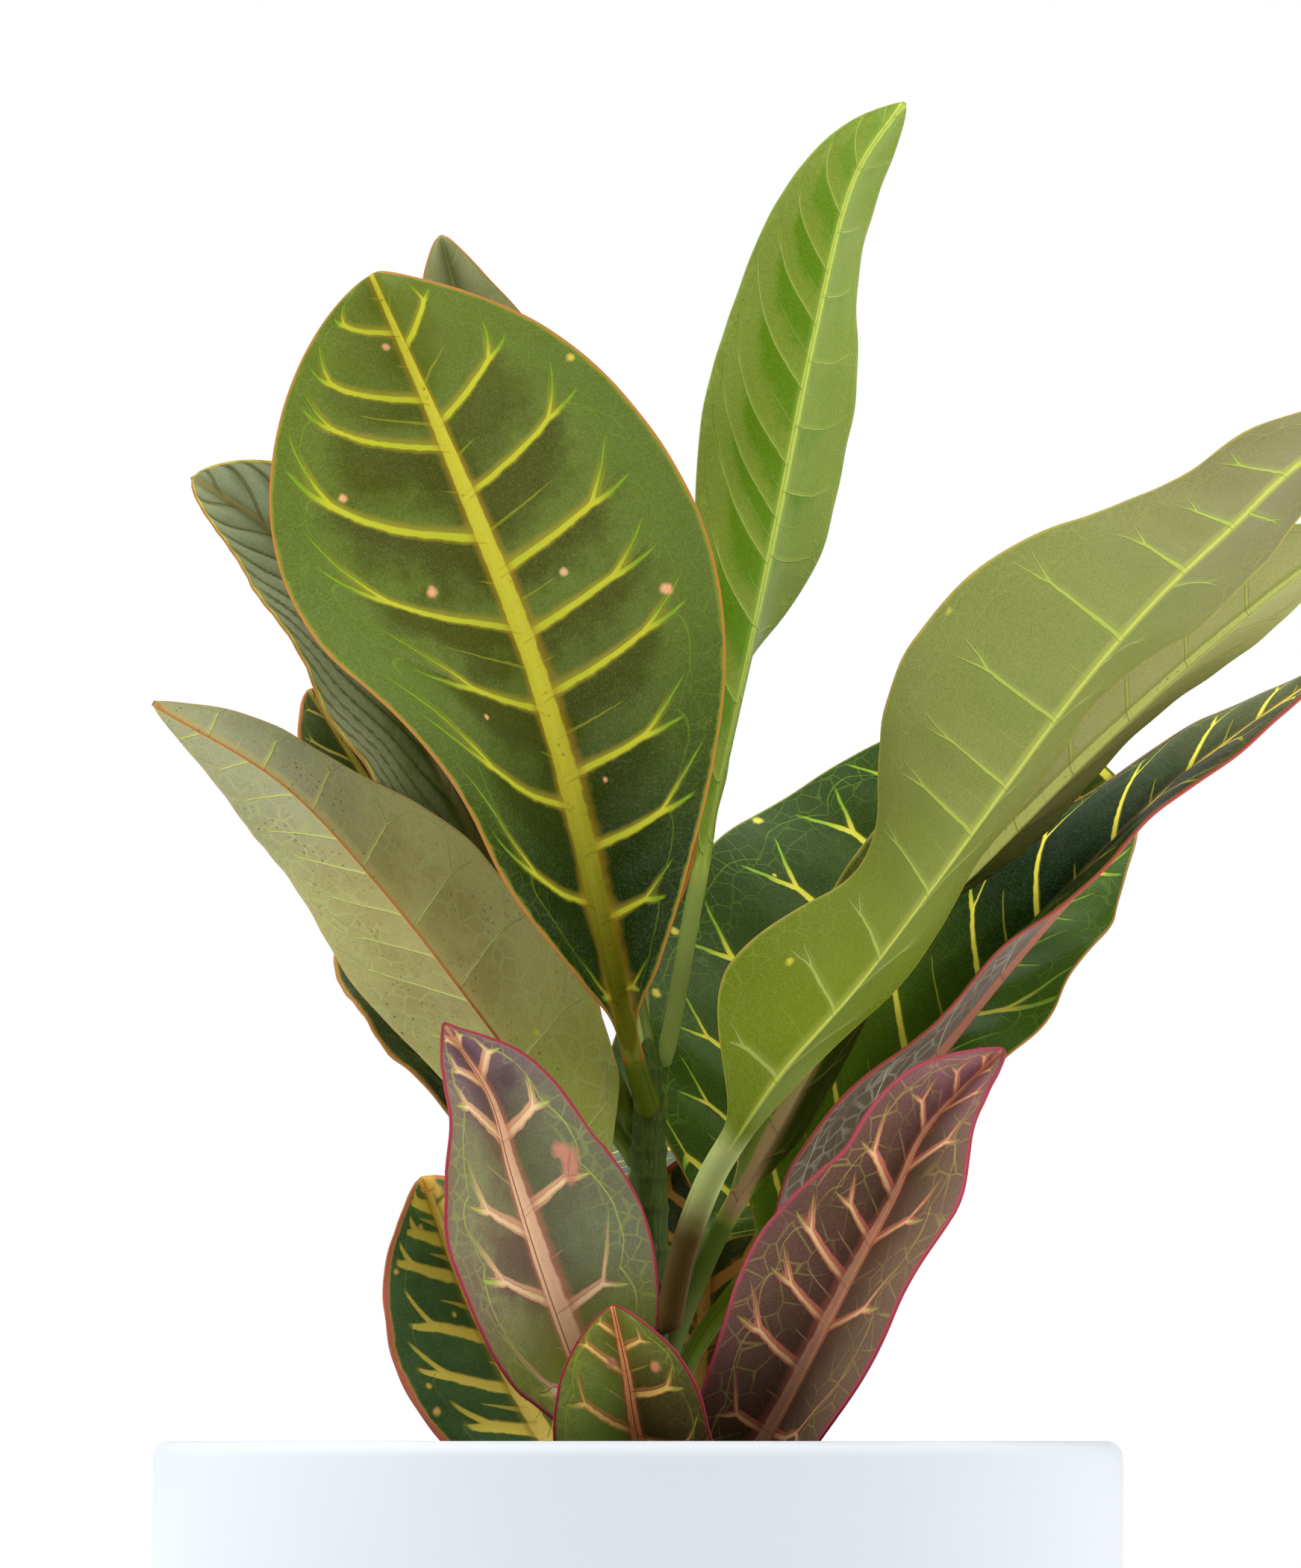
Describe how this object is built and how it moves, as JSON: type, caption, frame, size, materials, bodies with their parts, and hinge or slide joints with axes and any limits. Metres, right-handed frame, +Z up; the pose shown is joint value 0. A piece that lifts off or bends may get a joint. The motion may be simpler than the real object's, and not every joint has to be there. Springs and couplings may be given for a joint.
{
  "type": "potted croton",
  "caption": "Young croton with large red-edged, yellow-veined leaves on one upright stem, standing in soil in a plain white glazed cylinder pot.",
  "frame": {"origin": "middle of the flat underside of the pot, on the surface that the pot stands on", "axes": "+Z up along the pot's axis, -Y towards the front of the plant as pictured, +X to the viewer's right"},
  "size_m": [0.1793, 0.1712, 0.3258],
  "materials": {
    "pot_glaze": "satin white glaze",
    "potting_mix": "dark crumbly potting mix",
    "stem_bark": "green-brown young bark",
    "leaf_yellow_veined": "glossy green with yellow veins",
    "leaf_young_green": "light green, semi-matt",
    "leaf_olive_underside": "matt olive underside",
    "leaf_dark_green": "glossy dark green with yellow veins",
    "leaf_maroon": "glossy maroon with pink veins"
  },
  "bodies": {
    "root": {"pot": "pot_glaze", "soil": "potting_mix", "stem": "stem_bark", "leaf_big_front_left": "leaf_yellow_veined", "leaf_young_top": "leaf_young_green", "leaf_young_rear_left": "leaf_olive_underside", "leaf_left_high": "leaf_dark_green", "leaf_left_dark_tip": "leaf_dark_green", "leaf_left_underside": "leaf_olive_underside", "leaf_left_behind": "leaf_dark_green", "leaf_low_front_left": "leaf_maroon", "leaf_low_back_left": "leaf_dark_green", "leaf_small_front": "leaf_maroon", "leaf_low_right": "leaf_maroon", "leaf_big_right": "leaf_olive_underside", "leaf_right_behind": "leaf_olive_underside", "leaf_long_right": "leaf_dark_green", "leaf_broad_back_right": "leaf_dark_green", "leaf_low_back": "leaf_dark_green", "leaf_rear_tall": "leaf_yellow_veined", "leaf_rear_right": "leaf_dark_green", "leaf_rear_middle": "leaf_dark_green", "leaf_rear_left": "leaf_yellow_veined", "leaf_rear_low": "leaf_maroon"}
  },
  "joints": []
}
